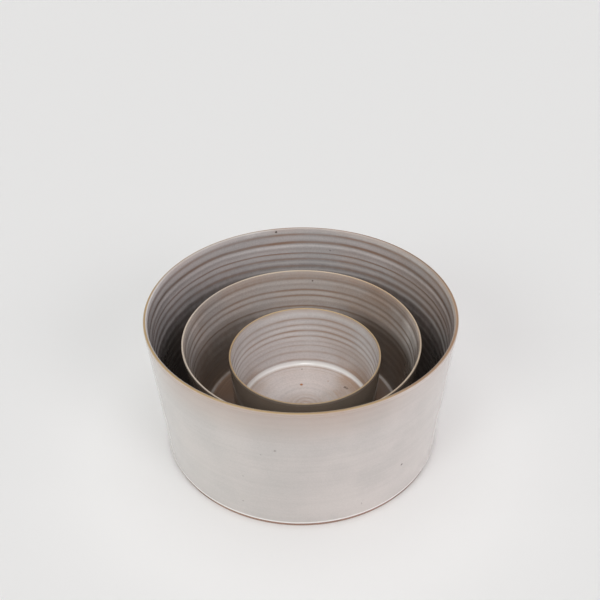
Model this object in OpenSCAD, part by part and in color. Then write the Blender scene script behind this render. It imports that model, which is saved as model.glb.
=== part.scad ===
// A nest of straight-sided stoneware bowls, thrown on the wheel.
// Each bowl is one fired piece. The smaller ones stand on the floor of the next
// size up and lift straight out. Millimetres, +Z up, origin at the middle of the
// face that the large bowl stands on.

/* [Large bowl] */
// Diameter over the lip
large_rim_d = 220; // [206:0.5:250]
// Diameter at the bottom of the outer wall, above the trimmed edge
large_foot_d = 205; // [196:0.2:230]
// Height from the foot to the top of the lip
large_h = 110.8; // [95:0.2:150]
// Thickness of the lip
large_lip_t = 2.4; // [1.8:0.1:4]
// Thickness of the wall where it meets the floor
large_wall_t = 4.5; // [3:0.1:6]
// Thickness of the floor
large_floor_t = 5.3; // [4:0.1:8]
// Height of one throwing ring
large_ring_pitch = 7.4; // [5:0.1:12]
// Depth of the throwing rings
large_ring_depth = 0.7; // [0.2:0.05:1]

/* [Medium bowl] */
// Diameter over the lip
medium_rim_d = 173; // [160:0.5:190]
// Diameter at the bottom of the outer wall, above the trimmed edge
medium_foot_d = 160; // [150:0.2:176]
// Height from the foot to the top of the lip
medium_h = 78.5; // [66:0.1:96]
// Thickness of the lip
medium_lip_t = 1.4; // [1.2:0.1:3]
// Thickness of the wall where it meets the floor
medium_wall_t = 4; // [3:0.1:6]
// Thickness of the floor
medium_floor_t = 5.3; // [4:0.1:8]
// Height of one throwing ring
medium_ring_pitch = 6.6; // [4.5:0.1:10]
// Depth of the throwing rings
medium_ring_depth = 0.6; // [0.2:0.05:1]
// How far the medium bowl stands to the right of the middle of the nest
medium_shift = 0.3; // [-6:0.1:6]
// How far the medium bowl stands behind the middle of the nest
medium_back = 0.9; // [-6:0.1:6]

/* [Small bowl] */
// Diameter over the lip
small_rim_d = 111.5; // [96:0.5:124]
// Diameter at the bottom of the outer wall, above the trimmed edge
small_foot_d = 107.4; // [92:0.2:118]
// Height from the foot to the top of the lip
small_h = 58.2; // [46:0.1:70]
// Thickness of the lip
small_lip_t = 1.3; // [1.2:0.1:2.6]
// Thickness of the wall where it meets the floor
small_wall_t = 3.6; // [2.8:0.1:5]
// Thickness of the floor
small_floor_t = 5.4; // [4:0.1:8]
// Height of one throwing ring
small_ring_pitch = 5; // [3.5:0.1:8]
// Depth of the throwing rings
small_ring_depth = 0.45; // [0.15:0.05:0.8]
// How far the small bowl stands to the right of the middle of the nest
small_shift = 2.8; // [-8:0.1:8]

/* [Foot and floor] */
// Height of the bare trimmed edge round each foot
bevel_h = 2.9; // [1:0.1:4]
// How far the trimmed edge is cut back under the wall
bevel_w = 0.7; // [0.4:0.1:2]
// Width of the ring that each bowl stands on
foot_ring_w = 9; // [6:0.5:14]
// Depth of the turned hollow under each bowl
hollow_h = 1.2; // [0.4:0.1:2]
// Radius of the inside corner between wall and floor
cove_r = 3; // [2:0.1:6]
// Diameter of the finger swirl in the middle of each floor
swirl_d = 34; // [20:1:48]
// Distance between the turns of the finger swirl
swirl_pitch = 5.5; // [4:0.1:8]
// Depth of the finger swirl
swirl_depth = 0.4; // [0.1:0.05:0.8]

/* [Wall and throwing rings] */
// How soon the wall thickens below the lip, where 1 is an even taper
lip_taper = 0.5; // [0.4:0.05:1]
// How far the rings wander from an even pitch, in parts of a ring
ring_wander = 0.22; // [0:0.01:0.3]
// Number of rings over which they wander
ring_wander_n = 4.3; // [2:0.1:8]
// Length over which the rings die away at the lip and at the floor
ring_fade = 5; // [2:0.5:10]

/* [Hidden] */
$fn = 96;

// Points to one throwing ring, one swirl turn and one rounded corner
ring_steps = 6;
swirl_steps = 5;
arc_steps = 8;

medium_z = large_floor_t;
small_z = medium_z + medium_floor_t;

large_glaze = [0.76, 0.73, 0.70];
medium_glaze = [0.70, 0.66, 0.62];
small_glaze = [0.74, 0.70, 0.67];

// Rounded points from one angle to another
function arc(r, z, radius, from, to) =
    [for (i = [0:arc_steps])
        let (a = from + (to - from) * i / arc_steps)
        [r + radius * cos(a), z + radius * sin(a)]];

// A groove that comes and goes once a turn, from 0 to 1
function groove(turns) = (1 - cos(360 * turns)) / 2;

// Depth of the throwing rings, u below the lip on a wall of the given length
function ring(u, length, pitch, depth) =
    let (
        turn = u / pitch,
        drift = ring_wander * sin(360 * turn / ring_wander_n),
        fade = max(0, min(1, u / ring_fade, (length - u) / ring_fade))
    )
    depth * fade * groove(turn + drift);

// Inner wall from the lip down to the floor's corner, with its throwing rings.
// It thickens by gain on the way, sooner than a straight taper would.
function ringed_wall(top, bottom, gain, pitch, depth) =
    let (
        length = top.y - bottom.y,
        count = ceil(length / pitch * ring_steps)
    )
    [for (i = [1:count - 1])
        let (
            share = i / count,
            u = length * share,
            body = gain * (pow(share, lip_taper) - share)
        )
        [top.x + (bottom.x - top.x) * share - body + ring(u, length, pitch, depth), top.y - u]];

// Finger swirl across the middle of the floor, ending on the axis
function swirl(floor_z) =
    let (count = ceil(swirl_d / 2 / swirl_pitch * swirl_steps))
    [for (i = [0:count])
        let (r = swirl_d / 2 * (1 - i / count))
        [r, floor_z - swirl_depth * groove((swirl_d / 2 - r) / swirl_pitch)]];

// Half section of a bowl, from under the foot round the lip to the middle of the floor
function bowl_section(rim_d, foot_d, h, lip_t, wall_t, floor_t, pitch, depth) =
    let (
        lip_r = lip_t / 2,
        foot_r = foot_d / 2,
        stand_r = foot_r - bevel_w,
        hollow_r = stand_r - foot_ring_w,
        corner_z = floor_t + cove_r,
        flare = (rim_d / 2 - foot_r) / (h - lip_r - bevel_h),
        corner_r = foot_r + flare * (corner_z - bevel_h) - wall_t,
        lip = [rim_d / 2 - lip_t, h - lip_r]
    )
    concat(
        [[0, hollow_h], [hollow_r - hollow_h, hollow_h], [hollow_r, 0]],
        [[stand_r, 0], [foot_r, bevel_h]],
        arc(rim_d / 2 - lip_r, h - lip_r, lip_r, 0, 180),
        ringed_wall(lip, [corner_r, corner_z], wall_t - lip_t, pitch, depth),
        arc(corner_r - cove_r, corner_z, cove_r, 0, -90),
        swirl(floor_t)
    );

module large_bowl() {
    color(large_glaze)
        rotate_extrude()
            polygon(bowl_section(large_rim_d, large_foot_d, large_h, large_lip_t, large_wall_t,
                large_floor_t, large_ring_pitch, large_ring_depth));
}

module medium_bowl() {
    color(medium_glaze)
        translate([medium_shift, medium_back, medium_z])
            rotate_extrude()
                polygon(bowl_section(medium_rim_d, medium_foot_d, medium_h, medium_lip_t, medium_wall_t,
                    medium_floor_t, medium_ring_pitch, medium_ring_depth));
}

module small_bowl() {
    color(small_glaze)
        translate([small_shift, 0, small_z])
            rotate_extrude()
                polygon(bowl_section(small_rim_d, small_foot_d, small_h, small_lip_t, small_wall_t,
                    small_floor_t, small_ring_pitch, small_ring_depth));
}

large_bowl();
medium_bowl();
small_bowl();
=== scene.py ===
# %% [markdown]
# A nest of stoneware bowls
#
# Three straight-sided bowls, thrown on a potter's wheel, stand one inside the other. Each is one
# piece of fired clay under a pale satin glaze, with a toasted rim, a bare edge at the foot and
# throwing rings inside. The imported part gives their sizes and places. This lesson turns each bowl
# again as a fine mesh, glazes it and sets it in soft studio light.

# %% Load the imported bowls
import math
from collections import namedtuple
from types import SimpleNamespace

import bpy
import numpy as np
from mathutils import Euler, Matrix, Vector


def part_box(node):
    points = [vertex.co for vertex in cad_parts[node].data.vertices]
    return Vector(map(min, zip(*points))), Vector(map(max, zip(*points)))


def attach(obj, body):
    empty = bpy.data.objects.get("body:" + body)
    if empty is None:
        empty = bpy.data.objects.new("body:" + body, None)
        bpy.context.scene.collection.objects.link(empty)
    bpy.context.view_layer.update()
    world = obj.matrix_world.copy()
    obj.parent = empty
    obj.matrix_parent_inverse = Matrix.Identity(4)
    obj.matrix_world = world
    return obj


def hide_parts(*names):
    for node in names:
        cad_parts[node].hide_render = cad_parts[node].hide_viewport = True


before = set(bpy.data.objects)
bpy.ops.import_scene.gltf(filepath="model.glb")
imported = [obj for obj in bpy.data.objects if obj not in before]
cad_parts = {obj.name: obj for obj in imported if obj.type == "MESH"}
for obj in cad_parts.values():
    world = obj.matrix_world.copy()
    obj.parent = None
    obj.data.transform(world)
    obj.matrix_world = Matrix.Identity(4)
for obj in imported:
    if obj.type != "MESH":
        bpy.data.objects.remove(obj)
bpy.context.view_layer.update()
MM = 0.001

# %% [markdown]
# The camera
#
# The bowls are seen from the front and well above, so that all three rims show as ellipses one inside
# the other. The camera could be aimed with a Track To constraint. Plain numbers are used instead,
# because the slight turn to one side and the small roll are part of the view.

# %% Place the camera
CAMERA_PLACE = Vector((0, -463.4, 445.8)) * MM
CAMERA_PITCH = math.radians(35.44)
CAMERA_YAW = math.radians(0.05)
CAMERA_ROLL = math.radians(-0.54)
SENSOR = 36.0
LENS = 48.76

bpy.ops.object.select_all(action="DESELECT")
bpy.ops.object.camera_add()
camera = bpy.context.object
camera.data.sensor_width = SENSOR
camera.data.lens = LENS
level = Euler((math.pi / 2 - CAMERA_PITCH, 0, CAMERA_YAW)).to_matrix()
aim = level @ Matrix.Rotation(CAMERA_ROLL, 3, "Z")
camera.matrix_world = Matrix.Translation(CAMERA_PLACE) @ aim.to_4x4()
bpy.context.scene.camera = camera
print("camera is", round(CAMERA_PLACE.length, 3), "m from the middle of the foot")

# %% [markdown]
# The sizes of each bowl
#
# A bowl's rim, height and place come from the imported part. What the box doesn't tell is written here
# in millimetres: the foot, the thickness of lip, wall and floor, and the throwing rings. A ring is the
# hollow that one fingertip leaves as the clay turns, so each has its own place below the lip and its
# own depth, and a soft ridge is left halfway to the next. Glaze gathers below it, a little or a lot, and
# a painted highlight whitens it there too. Below the rings that show best, the potter's hand settles
# into an even pitch.

# %% Write down the sizes
Ring = namedtuple("Ring", "below deep white", defaults=(0.12,))
Bowl = namedtuple("Bowl", "name foot_d lip_t wall_t floor_t rings pitch")

# third value: how white the glaze is below a ring, pooled glaze and a painted highlight
LARGE_RINGS = (
    Ring(5.7, 0.32), Ring(12.7, 0.50), Ring(18.0, 0.10),
    Ring(21.4, 0.26), Ring(27.2, 0.30, 0.40), Ring(33.9, 0.40, 0.30),
)
MEDIUM_RINGS = (
    Ring(7.2, 0.30), Ring(11.8, 0.08), Ring(17.1, 0.30),
    Ring(22.3, 0.28), Ring(28.3, 0.12), Ring(31.8, 0.36),
)
SMALL_RINGS = (
    Ring(9.8, 0.32), Ring(15.3, 0.28, 0.45), Ring(20.8, 0.40), Ring(25.8, 0.28),
    Ring(30.4, 0.13), Ring(34.5, 0.16), Ring(41.2, 0.24),
)
BOWLS = (
    Bowl("large_bowl", foot_d=205.0, lip_t=2.4, wall_t=4.5, floor_t=5.3, rings=LARGE_RINGS, pitch=6.8),
    Bowl("medium_bowl", foot_d=160.0, lip_t=1.4, wall_t=4.0, floor_t=5.3, rings=MEDIUM_RINGS, pitch=7.0),
    Bowl("small_bowl", foot_d=107.4, lip_t=1.3, wall_t=3.6, floor_t=5.4, rings=SMALL_RINGS, pitch=6.0),
)

for bowl in BOWLS:
    low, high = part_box(bowl.name)
    width, height = high.x - low.x, high.z - low.z
    print(bowl.name, "is", round(width / MM, 1), "mm wide and", round(height / MM, 1), "mm high")

# %% [markdown]
# The strokes of paint
#
# The glaze changes from place to place along the section, so each point of it will carry strokes of
# paint that the material reads later: toast on the lip, bare clay at the foot, glaze pooled in hollows
# with a painted highlight, thin glaze on ridges with painted shade, painted shade low down inside, and
# how near the rim a point is. Weights could be painted by hand on the finished mesh. They are worked out
# with the shape instead, so that they sit exactly on their ring, lip or cove. A brush holds what differs
# from bowl to bowl.

# %% Name the strokes and give each bowl its brush
PAINTS = ("toast", "toast_in", "bare", "pool", "thin", "inside", "lean", "floor", "rim")
Station = namedtuple("Station", ("r", "z") + PAINTS + ("inner",), defaults=(0,) * (len(PAINTS) + 1))

# toast_to: degrees over the lip, from its outer side, where the toast ends
# tan_lip, tan_to: how tan the wall is under the lip, and for how many mm
# lip_white, rim_pale, cove_white, wall_white: how white on the lip, under it, in the cove and above it;
# the lip's white is pooled glaze and a painted highlight on its inner edge
# lean_from: mm below the lip where painted shade starts to darken the inside
# cove_from, cove_fade: where the white starts and fades, in shares of the cove's turn
Brush = namedtuple(
    "Brush", "toast_to tan_lip tan_to lip_white rim_pale lean_from"
    " cove_white wall_white cove_from cove_fade")
NEVER = 999
BRUSHES = {
    "large_bowl": Brush(
        toast_to=105, tan_lip=0.0, tan_to=0, lip_white=0.55, rim_pale=0.30, lean_from=18,
        cove_white=0.6, wall_white=0.0, cove_from=0.65, cove_fade=(0.94, 1.08)),
    "medium_bowl": Brush(
        toast_to=150, tan_lip=0.45, tan_to=8, lip_white=0.45, rim_pale=0.0, lean_from=20,
        cove_white=0.45, wall_white=0.0, cove_from=0.65, cove_fade=(0.94, 1.08)),
    "small_bowl": Brush(
        toast_to=165, tan_lip=0.7, tan_to=3, lip_white=0.45, rim_pale=0.25, lean_from=NEVER,
        cove_white=1.0, wall_white=0.8, cove_from=0.0, cove_fade=(0.55, 0.95)),
}


def smooth(value, start, end):
    """0 before start and 1 after end, with an easy rise between."""
    t = min(1, max(0, (value - start) / (end - start)))
    return t * t * (3 - 2 * t)


print("strokes:", ", ".join(PAINTS))

# %% [markdown]
# The outside of the section
#
# A thrown bowl is a body of revolution, so one half section tells the whole shape. It starts in the
# middle of the underside, with the hollow that the potter turned out, and runs over the foot ring and
# its bare bevel. The glaze ends above the bevel in a rolled edge. The outer wall leans out a little and
# keeps a faint swell from the fingers, and near the rim its glaze gets thin and painted shade darkens
# it. The section could be drawn as a curve by hand. Points from a formula keep it true to the sizes.

# %% Points of the foot
BEVEL_H = 2.9
BEVEL_W = 0.7
FOOT_RING_W = 9.0
HOLLOW_H = 1.2
HOLLOW_SHARES = (0, 0.25, 0.5, 0.75, 0.96)
HOLLOW_STEP = ((-1.6, HOLLOW_H), (-0.9, 0.85), (-0.35, 0.25), (0.3, 0))
RING_FLAT = 2.0
EDGE_ROUND = 0.2
STAND_EDGE = ((-0.35, 0), (-0.05, EDGE_ROUND))
BEVEL_SHARES = (0.3, 0.6, 0.9)


def foot_stations(foot_r):
    """The turned hollow, its rounded step, the ring that the bowl stands on and the bevel, all bare."""
    stand_r = foot_r - BEVEL_W
    hollow_r = stand_r - FOOT_RING_W
    hollow = [(share * hollow_r, HOLLOW_H) for share in HOLLOW_SHARES]
    step = [(hollow_r + out, z) for out, z in HOLLOW_STEP]
    ring = [(hollow_r + RING_FLAT, 0), (stand_r - RING_FLAT, 0)]
    edge = [(stand_r + out, z) for out, z in STAND_EDGE]
    bevel = [(stand_r + BEVEL_W * t, EDGE_ROUND + (BEVEL_H - EDGE_ROUND) * t) for t in BEVEL_SHARES]
    return [Station(r, z, bare=1) for r, z in hollow + step + ring + edge + bevel]


print("foot points:", len(foot_stations(BOWLS[0].foot_d / 2)))

# %% Points of the outer wall
OUTER_STEPS = 64
CROWD_LOW = 1.6
GLAZE_EDGE_H = 1.5
GLAZE_EDGE_T = 0.15
WIPED = (-0.1, 0.3)
EDGE_WHITENS = (0, 0.5)
EDGE_FADES = (0.9, 1.8)
SWELL = 0.03
SWELL_FADE = (3, 12)
SHORT_WAVE = 2.9
LONG_WAVE = 4.7
RIM_SHADE = 0.60
RIM_SHADE_H = 32
RIM_EDGE_H = 4
WIDE_SHARE = 0.75
RIM_H = 3


def outer_stations(foot_r, rim_r, top):
    """The outer wall, with the rolled edge of the glaze at the foot and a faint swell of the fingers."""
    stations = []
    for i in range(OUTER_STEPS + 1):
        t = (i / OUTER_STEPS) ** CROWD_LOW
        z = BEVEL_H + (top - BEVEL_H) * t
        up = z - BEVEL_H
        roll = GLAZE_EDGE_T * math.sin(math.pi * min(1, up / GLAZE_EDGE_H))
        fade = smooth(up, *SWELL_FADE) * smooth(top - z, *SWELL_FADE)
        swell = SWELL * fade * (2 + math.sin(z / SHORT_WAVE) + math.sin(z / LONG_WAVE + 1))
        # near the rim the outside is thin glaze and painted shade, darker towards the lip
        wide_shade = WIDE_SHARE * smooth(z, top - RIM_SHADE_H, top)
        close_shade = (1 - WIDE_SHARE) * smooth(z, top - RIM_EDGE_H, top)
        stations.append(Station(
            foot_r + (rim_r - foot_r) * t - swell + roll, z,
            bare=1 - smooth(up, *WIPED),
            pool=smooth(up, *EDGE_WHITENS) * (1 - smooth(up, *EDGE_FADES)),
            thin=RIM_SHADE * (wide_shade + close_shade),
            rim=smooth(z, top - RIM_H, top)))
    return stations


print("outer wall points:", OUTER_STEPS + 1)

# %% [markdown]
# The lip and the inner wall
#
# The lip is a round roll of clay, toasted where the glaze ran off it. Inside, the wall is thinnest at
# the lip and thickens soon below it, and the finger's rings are pressed into it. Glaze is thin and
# brown on the upper slope of each ring, which faces down and is darkened by painted shade, and gathers
# white on the lower one, which faces up and is lightened by a painted highlight. One sine wave would
# give rings that are all alike, so each ring is a wave of its own depth that reaches halfway to its
# neighbours.

# %% Points of the lip
LIP_STEPS = 14
TOAST_START = (24, 58)
TOAST_END = 20
SHADE_ENDS = (40, 90)
INSIDE_FROM = (60, 120)


def lip_stations(bowl, brush, rim_r, top):
    """The round lip, turning in degrees from its outer side over the top to the inside."""
    lip_r = bowl.lip_t / 2
    stations = []
    for i in range(1, LIP_STEPS):
        turn = 180 * i / LIP_STEPS
        over = smooth(turn, brush.toast_to, brush.toast_to + TOAST_END)
        stations.append(Station(
            rim_r - lip_r + lip_r * math.cos(math.radians(turn)),
            top + lip_r * math.sin(math.radians(turn)),
            toast=smooth(turn, *TOAST_START) * (1 - over),
            toast_in=over,
            pool=brush.lip_white * over,
            thin=RIM_SHADE * (1 - smooth(turn, *SHADE_ENDS)),
            inside=smooth(turn, *INSIDE_FROM),
            rim=1))
    return stations


print("lip points:", LIP_STEPS - 1)

# %% The depth of the rings
LOW_RINGS = 0.5
END_ROOM = 0.5


def all_rings(bowl, wall_length):
    """The bowl's own rings, then shallower ones at an even pitch down to the floor."""
    rings = list(bowl.rings)
    shallow = LOW_RINGS * max(ring.deep for ring in rings)
    while rings[-1].below + (1 + END_ROOM) * bowl.pitch < wall_length:
        rings.append(Ring(rings[-1].below + bowl.pitch, shallow))
    return rings


def ring_depth(rings, pitch, below):
    """How deep the finger pressed the wall in, at a distance below the lip."""
    nearest = min(range(len(rings)), key=lambda i: abs(rings[i].below - below))
    ring = rings[nearest]
    neighbour = nearest + (1 if below > ring.below else -1)
    gap = abs(rings[neighbour].below - ring.below) if 0 <= neighbour < len(rings) else pitch
    away = min(1, 2 * abs(below - ring.below) / gap)
    return ring.deep * (1 + math.cos(math.pi * away)) / 2


print("own rings:", {bowl.name: len(bowl.rings) for bowl in BOWLS})

# %% Points of the inner wall
WALL_STEP = 0.45
LIP_TAPER = 0.5
LIP_EDGE = 0.5
RING_FADE = 4.0
SLOPE_REACH = 0.3
UPPER_SLOPE = (0, 0.22)
LOWER_SLOPE = (0.05, 0.3)
TAN_START = 0.8
PALE_SHARE = 0.4
PALE_ENDS = (1.4, 4)
DEEP_SHADE_LENGTH = 40
COVE_TOP = (-0.1, 0.5)
COVE_LINE = 1.7
COVE_LINE_EDGE = (0.3, 1.3)
COVE_LINE_SHARE = 0.6
WANDER_BELOW = (LIP_EDGE, 12)
WANDER_ABOVE = (0, 8)


def tan_and_pale(brush, below):
    """How tan the wall is under the lip, and how pale in the band that follows."""
    tan = brush.tan_lip * (1 - smooth(below, TAN_START, brush.tan_to + 1))
    pale_from = PALE_SHARE * brush.tan_to
    pale = smooth(below, pale_from - 1, pale_from + 1)
    pale *= 1 - smooth(below, *(brush.tan_to + end for end in PALE_ENDS))
    return tan, brush.rim_pale * pale


def inner_stations(bowl, brush, top_r, top, corner_r, corner_z):
    """The inner wall from the lip down to the cove, with its throwing rings."""
    length = top - corner_z
    rings = all_rings(bowl, length)
    count = int(length / WALL_STEP)

    def depth(below):
        fade = smooth(below, LIP_EDGE, RING_FADE) * smooth(length - below, 0, RING_FADE)
        return fade * ring_depth(rings, bowl.pitch, below)

    stations = []
    for i in range(count + 1):
        share = i / count
        below = length * share
        up = length - below
        body = (bowl.wall_t - bowl.lip_t) * (share ** LIP_TAPER - share)
        slope = (depth(below + SLOPE_REACH) - depth(below - SLOPE_REACH)) / (2 * SLOPE_REACH)
        passed = [ring for ring in rings if ring.below <= below] or [Ring(0, 0)]
        tan, pale = tan_and_pale(brush, below)
        off_line = smooth(abs(up - COVE_LINE), *COVE_LINE_EDGE)
        # white on slopes that face up, with a painted highlight; brown on slopes that face down, with
        # painted shade
        stations.append(Station(
            top_r + (corner_r - top_r) * share - body + depth(below), top - below,
            pool=max(
                passed[-1].white * smooth(-slope, *LOWER_SLOPE),
                pale,
                brush.wall_white * (1 - smooth(up, *COVE_TOP))),
            thin=max(
                smooth(slope, *UPPER_SLOPE),
                tan,
                COVE_LINE_SHARE * brush.cove_white * (1 - off_line)),
            inside=1,
            # painted shade: darker low inside the large and medium bowls, where the bowl within shades
            # the wall
            lean=smooth(below, brush.lean_from, brush.lean_from + DEEP_SHADE_LENGTH),
            rim=1 - smooth(below, LIP_EDGE, RIM_H),
            inner=smooth(below, *WANDER_BELOW) * smooth(up, *WANDER_ABOVE)))
    return stations


print("inner wall points are about", WALL_STEP, "mm apart")

# %% [markdown]
# The cove and the floor
#
# Wall and floor meet in a small round cove, where the glaze pools white. The floor is flat, with a few
# thin lines near its edge. It needs close points only there and in the middle, where a later step
# presses the finger's spiral. With the floor, the section is whole.

# %% Points of the cove and the floor, and the whole section
COVE_R = 3.0
COVE_STEPS = 10
COVE_POOL = 0.95
COVE_RISE = 0.2
FLOOR_FROM = (0.3, 0.9)
EDGE_STEP = 0.6
EDGE_STEPS = 13
FLOOR_STEP = 4.0
SWIRL_R = 18.0
SWIRL_STEP = 0.6
FloorLine = namedtuple("FloorLine", "inset strength")
FLOOR_LINES = (FloorLine(0.8, 0.75), FloorLine(4.6, 0.30), FloorLine(6.8, 0.18))
FLOOR_LINE_EDGE = (0.2, 0.9)


def cove_stations(brush, corner_r, corner_z):
    """The round inside corner, white from its start or only lower down."""
    stations = []
    for i in range(1, COVE_STEPS + 1):
        share = i / COVE_STEPS
        turn = math.pi / 2 * share
        begun = smooth(share, brush.cove_from - COVE_RISE, brush.cove_from)
        stations.append(Station(
            corner_r - COVE_R + COVE_R * math.cos(turn),
            corner_z - COVE_R * math.sin(turn),
            pool=COVE_POOL * brush.cove_white * begun * (1 - smooth(share, *brush.cove_fade)),
            inside=1,
            lean=1,
            floor=smooth(share, *FLOOR_FROM)))
    return stations


def line_at(line, inset):
    """How strong a line of the floor is at a distance from the cove."""
    return line.strength * (1 - smooth(abs(inset - line.inset), *FLOOR_LINE_EDGE))


def floor_stations(edge_r, floor_z):
    """The flat of the floor, from the cove in to the middle."""
    radii = [edge_r - EDGE_STEP * i for i in range(1, EDGE_STEPS + 1)]
    while radii[-1] - FLOOR_STEP > SWIRL_R:
        radii.append(radii[-1] - FLOOR_STEP)
    radii += [SWIRL_R - SWIRL_STEP * i for i in range(int(SWIRL_R / SWIRL_STEP))] + [0]
    stations = []
    for r in radii:
        thin = sum(line_at(line, edge_r - r) for line in FLOOR_LINES)
        stations.append(Station(r, floor_z, thin=thin, inside=1, lean=1, floor=1))
    return stations


def half_section(bowl):
    """All the stations, from under the foot round the lip to the middle of the floor."""
    brush = BRUSHES[bowl.name]
    low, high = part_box(bowl.name)
    rim_r = (high.x - low.x) / 2 / MM
    height = (high.z - low.z) / MM
    foot_r = bowl.foot_d / 2
    top = height - bowl.lip_t / 2
    corner_z = bowl.floor_t + COVE_R
    flare = (rim_r - foot_r) / (top - BEVEL_H)
    corner_r = foot_r + flare * (corner_z - BEVEL_H) - bowl.wall_t
    return (
        foot_stations(foot_r)
        + outer_stations(foot_r, rim_r, top)
        + lip_stations(bowl, brush, rim_r, top)
        + inner_stations(bowl, brush, rim_r - bowl.lip_t, top, corner_r, corner_z)
        + cove_stations(brush, corner_r, corner_z)
        + floor_stations(corner_r - COVE_R, bowl.floor_t)
    )


sections = {bowl.name: half_section(bowl) for bowl in BOWLS}
print("points in each section:", {name: len(points) for name, points in sections.items()})

# %% [markdown]
# Turning the bowls
#
# The section could be spun with the Spin tool. The Screw modifier does the same turn much faster and
# joins the ends at the axis, so it is the wheel here. One vertex is left of a plane, extruded along the
# section, painted, and turned once round.

# %% Turn each section on the wheel
AROUND = 224
WELD = 0.001 * MM


def draw_section(name, stations):
    """An edge chain through the stations, made by extruding one vertex."""
    bpy.ops.object.select_all(action="DESELECT")
    bpy.ops.mesh.primitive_plane_add(size=MM)
    chain = bpy.context.object
    chain.name = name
    bpy.ops.object.mode_set(mode="EDIT")
    bpy.ops.mesh.select_all(action="SELECT")
    bpy.ops.mesh.merge(type="CENTER")
    here = Vector((0, 0, 0))
    for i, station in enumerate(stations):
        there = Vector((station.r, 0, station.z)) * MM
        if i == 0:
            bpy.ops.transform.translate(value=there - here)
        else:
            bpy.ops.mesh.extrude_vertices_move(TRANSFORM_OT_translate={"value": there - here})
        here = there
    bpy.ops.object.mode_set(mode="OBJECT")
    return chain


def paint_section(chain, stations):
    """Copies the stations' paint, and the weight of the inner wall, to the nearest vertices."""
    places = np.array([(s.r * MM, 0, s.z * MM) for s in stations])
    nearest = [int(((places - np.array(v.co)) ** 2).sum(1).argmin()) for v in chain.data.vertices]
    for paint in PAINTS:
        layer = chain.data.attributes.new(paint, "FLOAT", "POINT")
        layer.data.foreach_set("value", [getattr(stations[i], paint) for i in nearest])
    group = chain.vertex_groups.new(name="inner_wall")
    for vertex, i in enumerate(nearest):
        group.add([vertex], stations[i].inner, "REPLACE")


def turn_on_wheel(chain):
    """One turn of the wheel, then the seam is closed and every face points outwards."""
    wheel = chain.modifiers.new("wheel", "SCREW")
    wheel.steps = AROUND
    wheel.render_steps = AROUND
    wheel.use_merge_vertices = True
    wheel.merge_threshold = WELD
    wheel.use_smooth_shade = True
    bpy.ops.object.modifier_apply(modifier=wheel.name)
    bpy.ops.object.mode_set(mode="EDIT")
    bpy.ops.mesh.select_all(action="SELECT")
    bpy.ops.mesh.remove_doubles(threshold=WELD)
    bpy.ops.mesh.normals_make_consistent(inside=False)
    bpy.ops.object.mode_set(mode="OBJECT")


pots = {}
for bowl in BOWLS:
    pot = draw_section("thrown_" + bowl.name, sections[bowl.name])
    paint_section(pot, sections[bowl.name])
    turn_on_wheel(pot)
    pots[bowl.name] = pot
    print(pot.name, "has", len(pot.data.polygons), "faces")

# %% [markdown]
# The potter's hand
#
# No thrown bowl is a perfect turning. Its rings rise and fall a little as they go round, the wall is
# not quite even, and a spiral is left in the floor where the finger moved out from the middle. The
# wandering comes from Displace modifiers with a slow cloud texture. The spiral is a formula on the
# floor's points, because a texture can't wind it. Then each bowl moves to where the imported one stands.

# %% Make the rings wander, leave the finger's spiral and set each bowl in its place
SWIRL_PITCH = 3.8
SWIRL_DEPTH = 0.22
SWIRL_SHINE = 0.7
SWIRL_START = (0, 2)
SWIRL_FADE = (0.4 * SWIRL_R, SWIRL_R)
RIDGE = (0.4, 1)
FLOOR_REACH = 0.1


def unevenness(pot, label, size, strength, direction):
    """Pushes the inner wall about by a cloud texture, with sizes in mm."""
    cloud = bpy.data.textures.new(label, "CLOUDS")
    cloud.noise_scale = size * MM
    cloud.noise_depth = 1
    shift = pot.modifiers.new(label, "DISPLACE")
    shift.texture = cloud
    shift.texture_coords = "LOCAL"
    shift.direction = direction
    shift.strength = strength * MM
    shift.vertex_group = "inner_wall"
    bpy.ops.object.select_all(action="DESELECT")
    pot.select_set(True)
    bpy.context.view_layer.objects.active = pot
    bpy.ops.object.modifier_apply(modifier=shift.name)


def finger_spiral(pot, floor_z):
    """Presses a spiral into the floor and thins the glaze on the ridge that it leaves."""
    thin = pot.data.attributes["thin"].data
    for vertex in pot.data.vertices:
        r = math.hypot(vertex.co.x, vertex.co.y) / MM
        if r < SWIRL_R and abs(vertex.co.z / MM - floor_z) < FLOOR_REACH:
            turns = r / SWIRL_PITCH + math.atan2(vertex.co.y, vertex.co.x) / (2 * math.pi)
            fade = smooth(r, *SWIRL_START) * (1 - smooth(r, *SWIRL_FADE))
            press = fade * (1 + math.cos(2 * math.pi * turns)) / 2
            vertex.co.z -= SWIRL_DEPTH * press * MM
            thin[vertex.index].value = SWIRL_SHINE * fade * smooth(1 - press, *RIDGE)


def standing_place(name):
    """The middle of the face that a packed bowl stands on."""
    low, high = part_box(name)
    return Vector(((low.x + high.x) / 2, (low.y + high.y) / 2, low.z))


for bowl in BOWLS:
    pot = pots[bowl.name]
    finger_spiral(pot, bowl.floor_t)
    unevenness(pot, "ring_wander", size=60, strength=2.2, direction="Z")
    unevenness(pot, "uneven_wall", size=18, strength=0.5, direction="NORMAL")
    stand = standing_place(bowl.name)
    pot.data.transform(Matrix.Translation(stand))
    print(pot.name, "stands at", [round(c / MM, 1) for c in stand])

# %% [markdown]
# Node helpers
#
# Every finish is built from the same few moves: add a node, feed its sockets, do a sum, mix two colours
# by a mask. In the Shader Editor each move is a few clicks. In a script a short helper for each keeps
# the recipe readable.

# %% Helpers that add nodes and groups


def feed(tree, socket, value):
    """Links an output socket, or sets a plain value."""
    if isinstance(value, bpy.types.NodeSocket):
        tree.links.new(value, socket)
    else:
        socket.default_value = value


def feed_by_name(tree, node, inputs):
    """Feeds a node's inputs, with spaces in their names written as underscores."""
    for name, value in inputs.items():
        feed(tree, node.inputs[name.replace("_", " ")], value)
    return node


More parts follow.
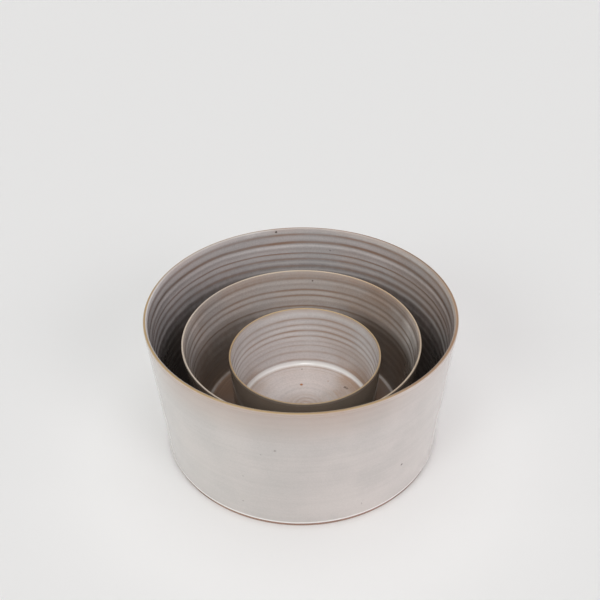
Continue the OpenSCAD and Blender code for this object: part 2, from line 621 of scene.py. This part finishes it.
def add(tree, kind, settings=None, **inputs):
    """A shader node with its settings and its inputs, by name."""
    made = tree.nodes.new("ShaderNode" + kind)
    for name, value in (settings or {}).items():
        setattr(made, name, value)
    return feed_by_name(tree, made, inputs)


def where(tree):
    """The place on the object, so that a pattern stays with its bowl."""
    return add(tree, "TexCoord").outputs["Object"]


def new_group(name, inputs, outputs):
    """An empty shader node group with its sockets; returns the tree and its two end nodes."""
    tree = bpy.data.node_groups.new(name, "ShaderNodeTree")
    for label, kind, value in inputs:
        tree.interface.new_socket(label, in_out="INPUT", socket_type=kind).default_value = value
    for label, kind in outputs:
        tree.interface.new_socket(label, in_out="OUTPUT", socket_type=kind)
    return tree, tree.nodes.new("NodeGroupInput"), tree.nodes.new("NodeGroupOutput")


def place(tree, group, **inputs):
    """A node group set in a tree; returns its outputs."""
    made = tree.nodes.new("ShaderNodeGroup")
    made.node_tree = group
    return feed_by_name(tree, made, inputs).outputs


print("helpers add nodes and groups")

# %% Helpers for sums, masks and colours


def sums(tree, operation, *values):
    """A Math node."""
    made = tree.nodes.new("ShaderNodeMath")
    made.operation = operation
    for socket, value in zip(made.inputs, values):
        feed(tree, socket, value)
    return made.outputs[0]


def times(tree, first, *others):
    """Values multiplied together."""
    for other in others:
        first = sums(tree, "MULTIPLY", first, other)
    return first


def vectors(tree, operation, first, second):
    """A Vector Math node; returns its outputs."""
    made = add(tree, "VectorMath", {"operation": operation})
    feed(tree, made.inputs[0], first)
    feed(tree, made.inputs[1], second)
    return made.outputs


def rest(tree, mask):
    """What a mask leaves over."""
    return sums(tree, "SUBTRACT", 1.0, mask)


def between(tree, mask, low, high):
    """A number that goes evenly from low to high as the mask goes from 0 to 1."""
    return sums(tree, "MULTIPLY_ADD", mask, high - low, low)


def span(tree, value, low, high, to_low=0.0, to_high=1.0):
    """A value moved from one range to another, with an easy rise and held at the ends."""
    made = tree.nodes.new("ShaderNodeMapRange")
    made.interpolation_type = "SMOOTHSTEP"
    for socket, number in zip(made.inputs, (value, low, high, to_low, to_high)):
        feed(tree, socket, number)
    return made.outputs[0]


def blend(tree, mask, first, second):
    """Two colours mixed by a mask."""
    made = tree.nodes.new("ShaderNodeMix")
    made.data_type = "RGBA"
    # the node has sockets for every kind of value, and these numbers are those for colours
    for number, value in ((0, mask), (6, first), (7, second)):
        feed(tree, made.inputs[number], value)
    return made.outputs[2]


print("helpers mix masks and colours")

# %% [markdown]
# Mottled glaze
#
# A stoneware glaze is never one colour. It lies in soft clouds, has a fine grain and keeps faint bands
# from the wheel. Each could be an image. Noise needs none and never repeats. The bands come from noise
# that is stretched far round the bowl's axis. All three sit in one node group, which every bowl shares.

# %% Clouds, grain and wheel bands
FLOAT = "NodeSocketFloat"
VECTOR = "NodeSocketVector"
CLOUD_SCALE = 28.0
GRAIN_SCALE = 900.0
BAND_SCALE = 420.0
BAND_DRIFT = 9.0
NOISE_RANGE = (0.3, 0.7)

mottling, ins, outs = new_group(
    "Glaze mottling",
    [("Axis", VECTOR, (0, 0, 0))],
    [("Clouds", FLOAT), ("Grain", FLOAT), ("Bands", FLOAT)])
here = where(mottling)
centred = vectors(mottling, "SUBTRACT", here, ins.outputs["Axis"])["Vector"]
parts = add(mottling, "SeparateXYZ", Vector=centred).outputs
squares = [sums(mottling, "POWER", parts[axis], 2.0) for axis in "XY"]
round_r = sums(mottling, "SQRT", sums(mottling, "ADD", *squares))
track = add(
    mottling, "CombineXYZ",
    X=times(mottling, round_r, BAND_SCALE),
    Y=times(mottling, parts["Z"], BAND_SCALE),
    Z=times(mottling, parts["X"], BAND_DRIFT)).outputs[0]
noises = {
    "Clouds": add(mottling, "TexNoise", Vector=here, Scale=CLOUD_SCALE, Detail=3.0, Roughness=0.5),
    "Grain": add(mottling, "TexNoise", Vector=here, Scale=GRAIN_SCALE, Detail=2.0, Roughness=0.6),
    "Bands": add(mottling, "TexNoise", Vector=track, Scale=1.0, Detail=3.0, Roughness=0.6),
}
for label, noise in noises.items():
    feed(mottling, outs.inputs[label], span(mottling, noise.outputs["Fac"], *NOISE_RANGE))
print("made", mottling.name)

# %% [markdown]
# Iron in the clay
#
# Grains of iron burn through the glaze as brown specks. The small ones are strewn: a Voronoi texture
# has a cell for each, and a lottery picks a few of the cells. The few large ones have places of their
# own, so a second group draws one ragged spot round a point. With a wide reach and a slow raggedness,
# the same group also gives the soft patches that the flame left.

# %% Strewn specks
SPECK_CORE = 0.4
specks, ins, outs = new_group(
    "Iron specks",
    [("Spacing", FLOAT, 250.0), ("Share", FLOAT, 0.03), ("Size", FLOAT, 0.16)],
    [("Mask", FLOAT)])
cells = add(specks, "TexVoronoi", Vector=where(specks), Scale=ins.outputs["Spacing"]).outputs
lottery = add(specks, "SeparateColor", Color=cells["Color"]).outputs[0]
chosen = sums(specks, "LESS_THAN", lottery, ins.outputs["Share"])
core = times(specks, ins.outputs["Size"], SPECK_CORE)
disc = span(specks, cells["Distance"], core, ins.outputs["Size"], 1.0, 0.0)
feed(specks, outs.inputs["Mask"], times(specks, disc, chosen))
print("made", specks.name)

# %% One ragged spot
RAGGED_EDGE = 0.45
iron_spot, ins, outs = new_group(
    "Iron spot",
    [("Place", VECTOR, (0, 0, 0)), ("Size", FLOAT, 0.8 * MM), ("Core", FLOAT, 0.45),
     ("Ragged", FLOAT, 1500.0)],
    [("Mask", FLOAT)])
here = where(iron_spot)
ragged = add(iron_spot, "TexNoise", Vector=here, Scale=ins.outputs["Ragged"], Detail=1.0).outputs["Fac"]
apart = vectors(iron_spot, "DISTANCE", here, ins.outputs["Place"])["Value"]
shares = sums(iron_spot, "DIVIDE", apart, ins.outputs["Size"])
uneven = sums(iron_spot, "ADD", shares, between(iron_spot, ragged, -RAGGED_EDGE, RAGGED_EDGE))
feed(iron_spot, outs.inputs["Mask"], span(iron_spot, uneven, ins.outputs["Core"], 1.0, 1.0, 0.0))
print("made", iron_spot.name)

# %% [markdown]
# The painted section
#
# The strokes of paint from the section come back here as attributes. Straight from the mesh their edges
# would be as clean as a machine's, so the group lets noise push each edge about, most where a stroke is
# half strong and not at all where it is full or absent.

# %% Read the strokes, with ragged edges
RAGGED_SCALE = 220.0
painted, ins, outs = new_group(
    "Painted section", [("Ragged", FLOAT, 0.5)], [(paint, FLOAT) for paint in PAINTS])
ragged = add(painted, "TexNoise", Vector=where(painted), Scale=RAGGED_SCALE, Detail=2.0).outputs["Fac"]
jitter = times(painted, sums(painted, "SUBTRACT", ragged, 0.5), ins.outputs["Ragged"])
for paint in PAINTS:
    stroke = add(painted, "Attribute", {"attribute_name": paint}).outputs["Fac"]
    # a stroke times its rest is a quarter at most, where the stroke is half strong
    edge = times(painted, stroke, rest(painted, stroke), 4.0)
    feed(painted, outs.inputs[paint], sums(painted, "MULTIPLY_ADD", jitter, edge, stroke))
print("made", painted.name)

# %% [markdown]
# The colours of the three glazes
#
# The bowls wear the same kind of glaze, and each has its own colours: outside, inside, painted shade low
# down, on the floor, thin over a ring with painted shade, and pooled in a hollow with a painted
# highlight.
# The outsides of the medium and small bowls and the floors of the large and medium ones are painted
# shade.
# The lip has three, for the left, the right and the far right. A patch is a place where the flame left
# the glaze warmer or paler, and a spot is one grain of iron. Both could be painted by hand. Written as
# places round the wall or on the floor, they can be read and moved.

# %% Write down the colours, patches and spots
# quiet: how far the marks of the wheel fade in the painted shade low down
# scorch: the height below which painted shade darkens the sides inside, or 0 for none
# blush: the patches; rust: spots of a bright rust colour
Finish = namedtuple(
    "Finish", "outer inner lean floor thin pooled lip quiet scorch blush spots rust", defaults=((),))
Patch = namedtuple("Patch", "place reach strength core tint", defaults=(0.0, None))
Spot = namedtuple("Spot", "place reach strength", defaults=(1.0,))
PALE_PATCH = (0.70, 0.63, 0.59, 1)
GREY_PATCH = (0.38, 0.31, 0.28, 1)
OUTER_FOOT_R = BOWLS[0].foot_d / 2
OUTER_FLARE = 0.07
SMALL_FLOOR_Z = sum(bowl.floor_t for bowl in BOWLS)


def round_wall(angle, r, z):
    """A place on a wall by its angle from the front, to the right, its radius and its height, in mm."""
    turned = math.radians(angle)
    return (r * math.sin(turned) * MM, -r * math.cos(turned) * MM, z * MM)


def outer_spot(angle, z, size, strength):
    """A spot on the outer wall of the large bowl, in mm."""
    return Spot(round_wall(angle, OUTER_FOOT_R + OUTER_FLARE * (z - BEVEL_H), z), size * MM, strength)


def on_small_floor(x, y):
    """A place on the floor of the small bowl, in mm."""
    return (x * MM, y * MM, SMALL_FLOOR_Z * MM)


FINISHES = {
    "large_bowl": Finish(
        outer=(0.540, 0.497, 0.477, 1),
        inner=(0.448, 0.410, 0.404, 1),
        # painted shade: dark low inside and on the floor, where the medium bowl shades the large one
        lean=(0.09, 0.074, 0.066, 1),
        floor=(0.09, 0.074, 0.066, 1),
        thin=(0.37, 0.237, 0.172, 1),
        pooled=(0.84, 0.82, 0.80, 1),
        lip=((0.37, 0.25, 0.12, 1), (0.30, 0.185, 0.11, 1), (0.19, 0.105, 0.055, 1)),
        quiet=0.9,
        scorch=0.0,
        blush=(Patch(round_wall(110, 107, 96), 110 * MM, 0.42),),
        spots=(
            outer_spot(-9, 76.7, 1.1, 0.45),
            outer_spot(40, 35.8, 1.1, 0.9),
            outer_spot(-21.4, 45.6, 0.9, 0.25),
            outer_spot(-22.6, 18.4, 0.9, 0.4),
            outer_spot(22.9, 13.8, 0.8, 0.4),
            outer_spot(-14, 71, 0.7, 0.3),
            Spot(round_wall(190.4, 107.4, 108.6), 1.3 * MM),
            Spot(round_wall(166.6, 106.1, 92.5), 0.9 * MM),
        ),
    ),
    "medium_bowl": Finish(
        # painted shade: the outside is dark because it stands in the shade of the large bowl
        outer=(0.22, 0.182, 0.152, 1),
        inner=(0.440, 0.389, 0.363, 1),
        # painted shade: dark low inside and on the floor, where the small bowl shades the medium one
        lean=(0.138, 0.106, 0.085, 1),
        floor=(0.165, 0.112, 0.083, 1),
        thin=(0.35, 0.222, 0.152, 1),
        pooled=(0.56, 0.53, 0.50, 1),
        lip=((0.64, 0.55, 0.45, 1), (0.56, 0.445, 0.33, 1), (0.50, 0.36, 0.23, 1)),
        quiet=0.35,
        # painted shade: the low sides inside are dark below this height
        scorch=60 * MM,
        blush=(
            Patch(round_wall(132, 84, 74), 48 * MM, 0.7),
            Patch(round_wall(99, 85, 79), 24 * MM, 0.9, 0.5, PALE_PATCH),
            Patch(round_wall(-97, 85, 76), 28 * MM, 0.5, 0.3, PALE_PATCH),
        ),
        spots=(Spot(round_wall(173.3, 84.3, 75.3), 1.0 * MM),),
    ),
    "small_bowl": Finish(
        # painted shade: the outside is dark because it stands in the shade of the medium bowl
        outer=(0.27, 0.22, 0.175, 1),
        inner=(0.555, 0.511, 0.499, 1),
        lean=(0.555, 0.511, 0.499, 1),
        floor=(0.59, 0.532, 0.51, 1),
        thin=(0.41, 0.295, 0.225, 1),
        pooled=(0.82, 0.80, 0.78, 1),
        lip=((0.42, 0.285, 0.15, 1), (0.47, 0.335, 0.195, 1), (0.45, 0.31, 0.17, 1)),
        quiet=0.0,
        scorch=0.0,
        blush=(
            Patch(on_small_floor(46, 18), 34 * MM, 0.95),
            Patch(on_small_floor(-42, 24), 24 * MM, 0.55),
            Patch(on_small_floor(3, -8), 30 * MM, 0.85),
            Patch(round_wall(148, 55, 54), 32 * MM, 0.5, tint=GREY_PATCH),
        ),
        spots=(
            Spot(on_small_floor(34.6, 20.7), 1.6 * MM, 0.75),
            Spot(on_small_floor(36.0, 19.4), 1.4 * MM, 0.6),
            Spot(on_small_floor(0.7, 43.4), 0.8 * MM, 0.8),
        ),
        rust=(Spot(on_small_floor(0.1, 24.4), 1.6 * MM), Spot(on_small_floor(21.4, 28.3), 0.6 * MM)),
    ),
}
print("patches and spots:", {name: (len(f.blush), len(f.spots)) for name, f in FINISHES.items()})

# %% [markdown]
# Where the flame went
#
# The kiln's flame came mostly from the right, so the glaze isn't the same all round. One material for
# each bowl starts here, with the painted strokes, the mottling and the place on the bowl at hand. From
# the place come the masks that later steps share: the right side, the far left, the low sides where
# shade is painted dark inside, and the rim where the flame licked it. A mask could be painted too. A
# range of places has soft edges and needs no painting.

# %% Start each glaze and mask what the flame changed and where shade is painted
STROKE_EDGES = 0.5
SIDES = (25 * MM, 60 * MM)
TO_RIGHT = (-20 * MM, 20 * MM)
LEFT_PAINTED_SHADE = 0.4
PAINTED_SHADE_FADE = 11 * MM
PAINTED_SHADE_QUIET = 0.85
BACK_LEAN = 0.5
CLOUD_REACH = 30 * MM
RIGHT_SIDE = (-60 * MM, 60 * MM)
FAR_SIDE = (10 * MM, 50 * MM)
LEFT_SIDE = (-20 * MM, -60 * MM)


def start_glaze(bowl):
    """A new material with its strokes, mottling and place on the bowl."""
    stand = standing_place(bowl.name)
    material = bpy.data.materials.new("stoneware_" + bowl.name)
    material.use_nodes = True
    tree = material.node_tree
    return SimpleNamespace(
        material=material,
        tree=tree,
        finish=FINISHES[bowl.name],
        strokes=place(tree, painted, Ragged=STROKE_EDGES),
        mottle=place(tree, mottling, Axis=(stand.x, stand.y, 0)),
        spot=add(tree, "SeparateXYZ", Vector=where(tree)).outputs)


def mask_flame_and_shade(glaze):
    """Masks for what the flame changed and for the painted shade in the low sides, kept with the glaze.
    """
    tree, finish, strokes = glaze.tree, glaze.finish, glaze.strokes
    x, y, z = (glaze.spot[axis] for axis in "XYZ")
    glaze.outside = rest(tree, strokes["inside"])

    glaze.off_middle = sums(tree, "ABSOLUTE", x)
    # painted shade: the low sides inside are darker, more on the right
    sides = times(tree, span(tree, glaze.off_middle, *SIDES), span(tree, x, *TO_RIGHT, LEFT_PAINTED_SHADE, 1.0))
    low_down = span(tree, z, finish.scorch, finish.scorch - PAINTED_SHADE_FADE)
    glaze.scorched = times(tree, sides, low_down, strokes["inside"])
    lean = times(tree, strokes["lean"], finish.quiet)
    glaze.lively = rest(tree, sums(tree, "MAXIMUM", times(tree, glaze.scorched, PAINTED_SHADE_QUIET), lean))

    across = sums(tree, "MULTIPLY_ADD", y, BACK_LEAN, x)
    cloudy = between(tree, glaze.mottle["Clouds"], -CLOUD_REACH, CLOUD_REACH)
    glaze.right = span(tree, sums(tree, "ADD", across, cloudy), *RIGHT_SIDE)
    glaze.far_left = times(tree, span(tree, y, *FAR_SIDE), span(tree, x, *LEFT_SIDE))
    glaze.burnt = times(tree, sums(tree, "MAXIMUM", glaze.right, glaze.far_left), strokes["rim"])


glazes = {}
for bowl in BOWLS:
    glazes[bowl.name] = start_glaze(bowl)
    mask_flame_and_shade(glazes[bowl.name])
print("started:", [glaze.material.name for glaze in glazes.values()])

# %% [markdown]
# The coat of glaze
#
# The coat is dipped first and changed by the fire afterwards, and the nodes go the same way. The outer
# and inner colours come first, then painted shade low inside and in the low sides, then the floor, which
# is painted shade in the large and medium bowls, then the flame's patches. Last, the mottling makes the
# coat lighter, darker, warmer or cooler from place to place, and paints light on the right of the
# outside and shade on its left. That could be one more mix of colours, but Hue/Saturation keeps the hue.

# %% Coat, patches and mottling
PATCH_EDGES = 45.0
PATCH_STREAKS = (0.65, 1.35)
BAND_SHADE = 0.045
GRAIN_SHADE = 0.06
OUTER_MARKS = 0.45
CLOUD_SHADE = (0.96, 1.04)
PAINTED_SIDE_LIGHT = (-0.045, 0.025)
CLOUD_WARMTH = (0.12, 0.30)


def coat(glaze):
    """The colours of the dipped glaze, with painted shade low inside, in the low sides and on some
    floors.
    """
    tree, finish, strokes = glaze.tree, glaze.finish, glaze.strokes
    colour = blend(tree, strokes["inside"], finish.outer, finish.inner)
    # painted shade low inside, in the low sides and on the floors of the large and medium bowls
    colour = blend(tree, strokes["lean"], colour, finish.lean)
    colour = blend(tree, glaze.scorched, colour, finish.lean)
    glaze.colour = blend(tree, strokes["floor"], colour, finish.floor)


def flame_patches(glaze):
    """Soft patches inside the bowl, streaked by the wheel."""
    tree, finish = glaze.tree, glaze.finish
    faint, strong = PATCH_STREAKS
    for patch in finish.blush:
        shape = {"Place": patch.place, "Size": patch.reach, "Core": patch.core, "Ragged": PATCH_EDGES}
        mask = place(tree, iron_spot, **shape)["Mask"]
        bands = glaze.mottle["Bands"]
        streaks = between(tree, bands, faint * patch.strength, strong * patch.strength)
        mask = times(tree, mask, glaze.lively, streaks, glaze.strokes["inside"])
        glaze.colour = blend(tree, mask, glaze.colour, patch.tint or finish.thin)


def mottle(glaze):
    """Shade and warmth that change from place to place, with painted light on the right of the outside
    and painted shade on its left.
    """
    tree, inside = glaze.tree, glaze.strokes["inside"]
    clouds, grain, bands = (glaze.mottle[label] for label in ("Clouds", "Grain", "Bands"))
    banded = between(tree, bands, -BAND_SHADE, BAND_SHADE)
    marks = sums(tree, "ADD", banded, between(tree, grain, -GRAIN_SHADE, GRAIN_SHADE))
    marks = times(tree, marks, between(tree, inside, OUTER_MARKS, 1.0), glaze.lively)
    shade = sums(tree, "ADD", marks, between(tree, clouds, *CLOUD_SHADE))
    # painted light and shade: the outside is a little lighter on the right and darker on the left
    shade = sums(tree, "MULTIPLY_ADD", between(tree, glaze.right, *PAINTED_SIDE_LIGHT), glaze.outside, shade)
    warmth = times(tree, sums(tree, "SUBTRACT", clouds, 0.5), between(tree, inside, *CLOUD_WARMTH))
    warmth = sums(tree, "ADD", warmth, 1.0)
    mixed = add(tree, "HueSaturation", Saturation=warmth, Value=shade, Color=glaze.colour)
    glaze.colour = mixed.outputs["Color"]


for name, glaze in glazes.items():
    coat(glaze)
    flame_patches(glaze)
    mottle(glaze)
    print(name, "is coated and has", len(glaze.finish.blush), "patches")

# %% [markdown]
# Thin glaze and pooled glaze, with painted shade and highlights
#
# Where glaze runs off a ridge it is thin, and the brown clay shows through. Where it gathers it is
# thick and white. On the rings the brown is also painted shade on the slopes that face down, and the
# white a painted highlight on those that face up. Pointiness could find the ridges, but the strokes
# know them exactly. On the outside the glaze is thin below the lip and painted shade darkens it, most
# at the front, and there the edges of the stroke stay smooth. The flame dulls the white near the rim on
# the right and at the far left.

# %% Break the glaze over ridges and pool it in hollows, with painted shade and highlights
BROKEN = 0.55
BROKEN_CLOUDS = 0.4
BROKEN_GRAIN = 0.15
BROKEN_SIDE = (0.85, 1.15)
SMOOTH_EDGES = 0.1
FRONT_TURN = 0.25
FRONT = (-105 * MM, -60 * MM)
FRONT_SHADE = (1.6, 0.3)
BURNT_THIN = 0.3
BURNT_POOL = 0.3


def break_and_shade(glaze):
    """Brown where the glaze is thin, with painted shade on the rings and below the lip outside."""
    tree, strokes = glaze.tree, glaze.strokes
    patchy = times(tree, sums(tree, "SUBTRACT", glaze.mottle["Clouds"], 0.5), strokes["inside"])
    broken = sums(tree, "MULTIPLY_ADD", patchy, BROKEN_CLOUDS, BROKEN)
    broken = sums(tree, "MULTIPLY_ADD", glaze.mottle["Grain"], BROKEN_GRAIN, broken)
    broken = times(tree, broken, between(tree, glaze.right, *BROKEN_SIDE), glaze.lively)

    # painted shade on the outside below the lip, strongest at the front
    ahead = sums(tree, "MULTIPLY_ADD", glaze.spot["X"], FRONT_TURN, glaze.spot["Y"])
    at_front = times(tree, glaze.outside, span(tree, ahead, *FRONT, *FRONT_SHADE))
    shaded = times(tree, place(tree, painted, Ragged=SMOOTH_EDGES)["thin"], at_front)
    thinned = sums(tree, "MULTIPLY_ADD", strokes["thin"], strokes["inside"], shaded)
    thinned = sums(tree, "MAXIMUM", thinned, times(tree, glaze.burnt, BURNT_THIN))
    glaze.colour = blend(tree, times(tree, thinned, broken), glaze.colour, glaze.finish.thin)


def whiten_pools_and_highlights(glaze):
    """White where the glaze is thick, with a painted highlight on the rings and the lip."""
    tree = glaze.tree
    dulled = sums(tree, "MAXIMUM", glaze.burnt, glaze.far_left)
    pooled = times(tree, glaze.strokes["pool"], between(tree, dulled, 1.0, BURNT_POOL))
    glaze.colour = blend(tree, pooled, glaze.colour, glaze.finish.pooled)


for name, glaze in glazes.items():
    break_and_shade(glaze)
    whiten_pools_and_highlights(glaze)
    print(name, "breaks brown over its ridges and pools in its hollows")

# %% [markdown]
# The toasted lip
#
# The lip has almost no glaze, and the fire toasted it ochre. It could be a separate ring with its own
# material. On the real bowl there is no seam, so the lip's colour is one more stroke. It is fainter at
# the back and the far left, and on the right it reaches a little over the inner edge.

# %% Toast the lips
AT_BACK = (85 * MM, 105 * MM)
BACK_TOAST = 0.75
FAR_LEFT_TOAST = 0.5
PAST_MIDDLE = (50 * MM, 100 * MM)
INNER_TOAST = (0.5, 0.15)
FAR_LIP_Y = (0.0, 60 * MM)
FAR_LIP_X = (20 * MM, 60 * MM)


def toast_lip(glaze):
    """Ochre on the lip, in three colours round it."""
    tree, strokes = glaze.tree, glaze.strokes
    x, y = glaze.spot["X"], glaze.spot["Y"]
    fainter = between(tree, glaze.far_left, 1.0, FAR_LEFT_TOAST)
    toast = times(tree, strokes["toast"], span(tree, y, *AT_BACK, 1.0, BACK_TOAST), fainter)
    reached = times(tree, glaze.right, span(tree, y, *PAST_MIDDLE, *INNER_TOAST))
    toast = sums(tree, "MULTIPLY_ADD", strokes["toast_in"], reached, toast)
    left_lip, right_lip, far_lip = glaze.finish.lip
    far_right = times(tree, span(tree, y, *FAR_LIP_Y), span(tree, x, *FAR_LIP_X))
    lip = blend(tree, glaze.right, left_lip, blend(tree, far_right, right_lip, far_lip))
    glaze.colour = blend(tree, toast, glaze.colour, lip)


for name, glaze in glazes.items():
    toast_lip(glaze)
    print(name, "has its lip toasted")

# %% [markdown]
# Iron specks and the bare foot
#
# Iron comes through the glaze last of all, and the foot was wiped clean before firing. So the specks go
# over every colour, and the clay of the foot goes over the specks. The foot could be a second material
# on its own faces. A mask gives it the soft edge of wiped glaze. The clay is darker at the two sides,
# where shade is painted on it.

# %% Strew the iron and bare the foot
IRON = (0.045, 0.024, 0.014, 1)
RUST = (0.40, 0.16, 0.06, 1)
CLAY = (0.26, 0.158, 0.118, 1)
PALE_CLAY = [1.3 * c for c in CLAY[:3]] + [1]
SHADED_CLAY = (0.13, 0.055, 0.03, 1)
SHADED_SIDES = (50 * MM, 80 * MM)
STREWN = {"Spacing": 250.0, "Share": 0.008, "Size": 0.11}
STREWN_STRENGTH = 0.6
IRON_STRENGTH = 0.85


def single_spot(tree, spot):
    """The mask of one spot."""
    return place(tree, iron_spot, Place=spot.place, Size=spot.reach)["Mask"]


def iron_marks(glaze):
    """Strewn specks, single spots and spots of rust."""
    tree = glaze.tree
    iron = times(tree, place(tree, specks, **STREWN)["Mask"], STREWN_STRENGTH)
    for spot in glaze.finish.spots:
        iron = sums(tree, "MAXIMUM", iron, times(tree, single_spot(tree, spot), spot.strength))
    glaze.colour = blend(tree, times(tree, iron, IRON_STRENGTH), glaze.colour, IRON)
    for spot in glaze.finish.rust:
        glaze.colour = blend(tree, single_spot(tree, spot), glaze.colour, RUST)


def bare_foot(glaze):
    """Clay without glaze, with painted shade at the two sides."""
    tree = glaze.tree
    clay = blend(tree, glaze.mottle["Grain"], CLAY, PALE_CLAY)
    # painted shade: the bare clay is darker at the left and right sides
    clay = blend(tree, span(tree, glaze.off_middle, *SHADED_SIDES), clay, SHADED_CLAY)
    glaze.colour = blend(tree, glaze.strokes["bare"], glaze.colour, clay)


for name, glaze in glazes.items():
    iron_marks(glaze)
    bare_foot(glaze)
    print(name, "has", len(glaze.finish.spots) + len(glaze.finish.rust), "single spots and a bare foot")

# %% [markdown]
# The satin surface
#
# The glaze is glossy outside and a little duller inside, and the lip and the bare clay are rough. One
# number can't say that, so roughness follows the strokes. A faint bump from the grain gives the inside
# and the clay their tooth. Then each finished material goes on its bowl.

# %% Set the roughness and put each glaze on its bowl
GLAZE_ROUGHNESS = 0.07
GLAZE_IOR = 1.55
CLAY_ROUGHNESS = 0.85
SATIN = (0.04, 0.10)
RIM_BARE = 0.6
PIT_STRENGTH = 0.08
PIT_DEPTH = 0.15 * MM


def satin_surface(glaze):
    """The finished colour, roughness and tooth, fed to the shader."""
    tree, strokes, grain = glaze.tree, glaze.strokes, glaze.mottle["Grain"]
    shader = tree.nodes["Principled BSDF"]
    feed(tree, shader.inputs["Base Color"], glaze.colour)
    satin = between(tree, grain, *SATIN)
    rough = sums(tree, "MULTIPLY_ADD", satin, strokes["inside"], GLAZE_ROUGHNESS)
    unglazed = sums(tree, "MAXIMUM", strokes["bare"], times(tree, strokes["rim"], RIM_BARE))
    rough = sums(tree, "MULTIPLY_ADD", unglazed, CLAY_ROUGHNESS - GLAZE_ROUGHNESS, rough)
    feed(tree, shader.inputs["Roughness"], rough)
    shader.inputs["IOR"].default_value = GLAZE_IOR
    pits = times(tree, grain, sums(tree, "MAXIMUM", strokes["inside"], strokes["bare"]))
    bump = add(tree, "Bump", Strength=PIT_STRENGTH, Distance=PIT_DEPTH, Height=pits)
    feed(tree, shader.inputs["Normal"], bump.outputs["Normal"])


for name, glaze in glazes.items():
    satin_surface(glaze)
    pots[name].data.materials.clear()
    pots[name].data.materials.append(glaze.material)
    print(name, "is glazed with", len(glaze.tree.nodes), "nodes")

# %% [markdown]
# Set each bowl on its body
#
# A thrown mesh takes the place of its imported node, which stays behind for collision. It rides on the
# node's body, so that lifting a bowl carries its glaze along.

# %% Ride and replace
for bowl in BOWLS:
    pot = pots[bowl.name]
    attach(pot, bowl.name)
    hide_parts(bowl.name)
print("riding:", [pot.name for pot in pots.values()])

# %% [markdown]
# The floor
#
# The bowls stand on plain pale paper. A studio would curve it up behind them. From well above only the
# flat shows, so one large plane is enough.

# %% Lay the floor
FLOOR_COLOUR = (0.86, 0.85, 0.845, 1)
FLOOR_SIZE = 12.0
PAPER_ROUGHNESS = 0.95
PAPER_SHINE = 0.1

bpy.ops.object.select_all(action="DESELECT")
bpy.ops.mesh.primitive_plane_add(size=FLOOR_SIZE)
floor = bpy.context.object
floor.name = "floor"
paper = bpy.data.materials.new("pale_paper")
paper.use_nodes = True
paper_shader = paper.node_tree.nodes["Principled BSDF"]
paper_shader.inputs["Base Color"].default_value = FLOOR_COLOUR
paper_shader.inputs["Roughness"].default_value = PAPER_ROUGHNESS
paper_shader.inputs["Specular IOR Level"].default_value = PAPER_SHINE
floor.data.materials.append(paper)
print("floor is", FLOOR_SIZE, "m wide")

# %% [markdown]
# Light
#
# The light is that of a white room with windows. Six suns stand for it: a wide, soft window behind the
# camera, one to its left and one to its right, a low, narrow glow from each side that lights the edges
# of the outer wall, and a skylight. Area lamps would do as well, but a sun's light doesn't fall off, so
# its strength is easy to reason about.

# %% Hang the suns
# height, turn and width are in degrees
Sun = namedtuple("Sun", "name height turn strength width colour")
WHITE = (1.0, 1.0, 1.0)
COOL = (0.92, 1.0, 0.97)
ROSY = (1.0, 0.96, 0.98)
SUNS = (
    Sun("window", 45, -3, 1.15, 20, WHITE),
    Sun("window_left", 30, -42, 0.52, 24, COOL),
    Sun("window_right", 30, 42, 0.52, 24, ROSY),
    Sun("side_left", 1.5, -85, 1.00, 3, COOL),
    Sun("side_right", 1.5, 78, 0.78, 3, ROSY),
    Sun("skylight", 90, 0, 1.10, 55, WHITE),
)

for sun in SUNS:
    bpy.ops.object.select_all(action="DESELECT")
    turned = (math.radians(90 - sun.height), 0, math.radians(sun.turn))
    bpy.ops.object.light_add(type="SUN", rotation=turned)
    lamp = bpy.context.object
    lamp.name = sun.name
    lamp.data.energy = sun.strength
    lamp.data.color = sun.colour
    lamp.data.angle = math.radians(sun.width)
print("suns:", [sun.name for sun in SUNS])

# %% [markdown]
# The room
#
# The room's walls give the last, soft light. They are brighter than the ceiling, and dark behind the
# camera, where the windows already shine. The camera and shiny surfaces see the room in a pale colour
# close to the floor's. A Light Path node tells the two apart, so that the pale background puts no more
# light on the bowls.

# %% Build the room's light
ROOM = (0.80, 0.79, 0.79, 1)
WALL_LIGHT = (0.22, 0.22, 0.22, 1)
CEILING_LIGHT = (0.10, 0.10, 0.10, 1)
SHADED_LIGHT = (0.04, 0.04, 0.04, 1)
CEILING_FROM = (0.3, 0.7)
BEHIND = (-0.4, -0.9)

world = bpy.data.worlds.new("white_room")
bpy.context.scene.world = world
world.use_nodes = True
tree = world.node_tree
gaze = add(tree, "SeparateXYZ", Vector=add(tree, "TexCoord").outputs["Generated"]).outputs
overhead = span(tree, gaze["Z"], *CEILING_FROM)
walls = blend(tree, overhead, WALL_LIGHT, CEILING_LIGHT)
behind_camera = times(tree, span(tree, gaze["Y"], *BEHIND), rest(tree, overhead))
walls = blend(tree, behind_camera, walls, SHADED_LIGHT)
light = tree.nodes["Background"]
feed(tree, light.inputs["Color"], walls)
seen = add(tree, "Background", Color=ROOM, Strength=1.0)
paths = add(tree, "LightPath").outputs
looked_at = sums(tree, "MAXIMUM", paths["Is Camera Ray"], paths["Is Glossy Ray"])
looked_at = sums(tree, "MAXIMUM", looked_at, paths["Is Transmission Ray"])
either = add(tree, "MixShader", Fac=looked_at)
tree.links.new(light.outputs[0], either.inputs[1])
tree.links.new(seen.outputs[0], either.inputs[2])
tree.links.new(either.outputs[0], tree.nodes["World Output"].inputs["Surface"])
print("the room", world.name, "is lit")

# %% [markdown]
# Finish
#
# Colours are shown as they are written.

# %% Show colours plainly
bpy.context.scene.view_settings.view_transform = "Standard"
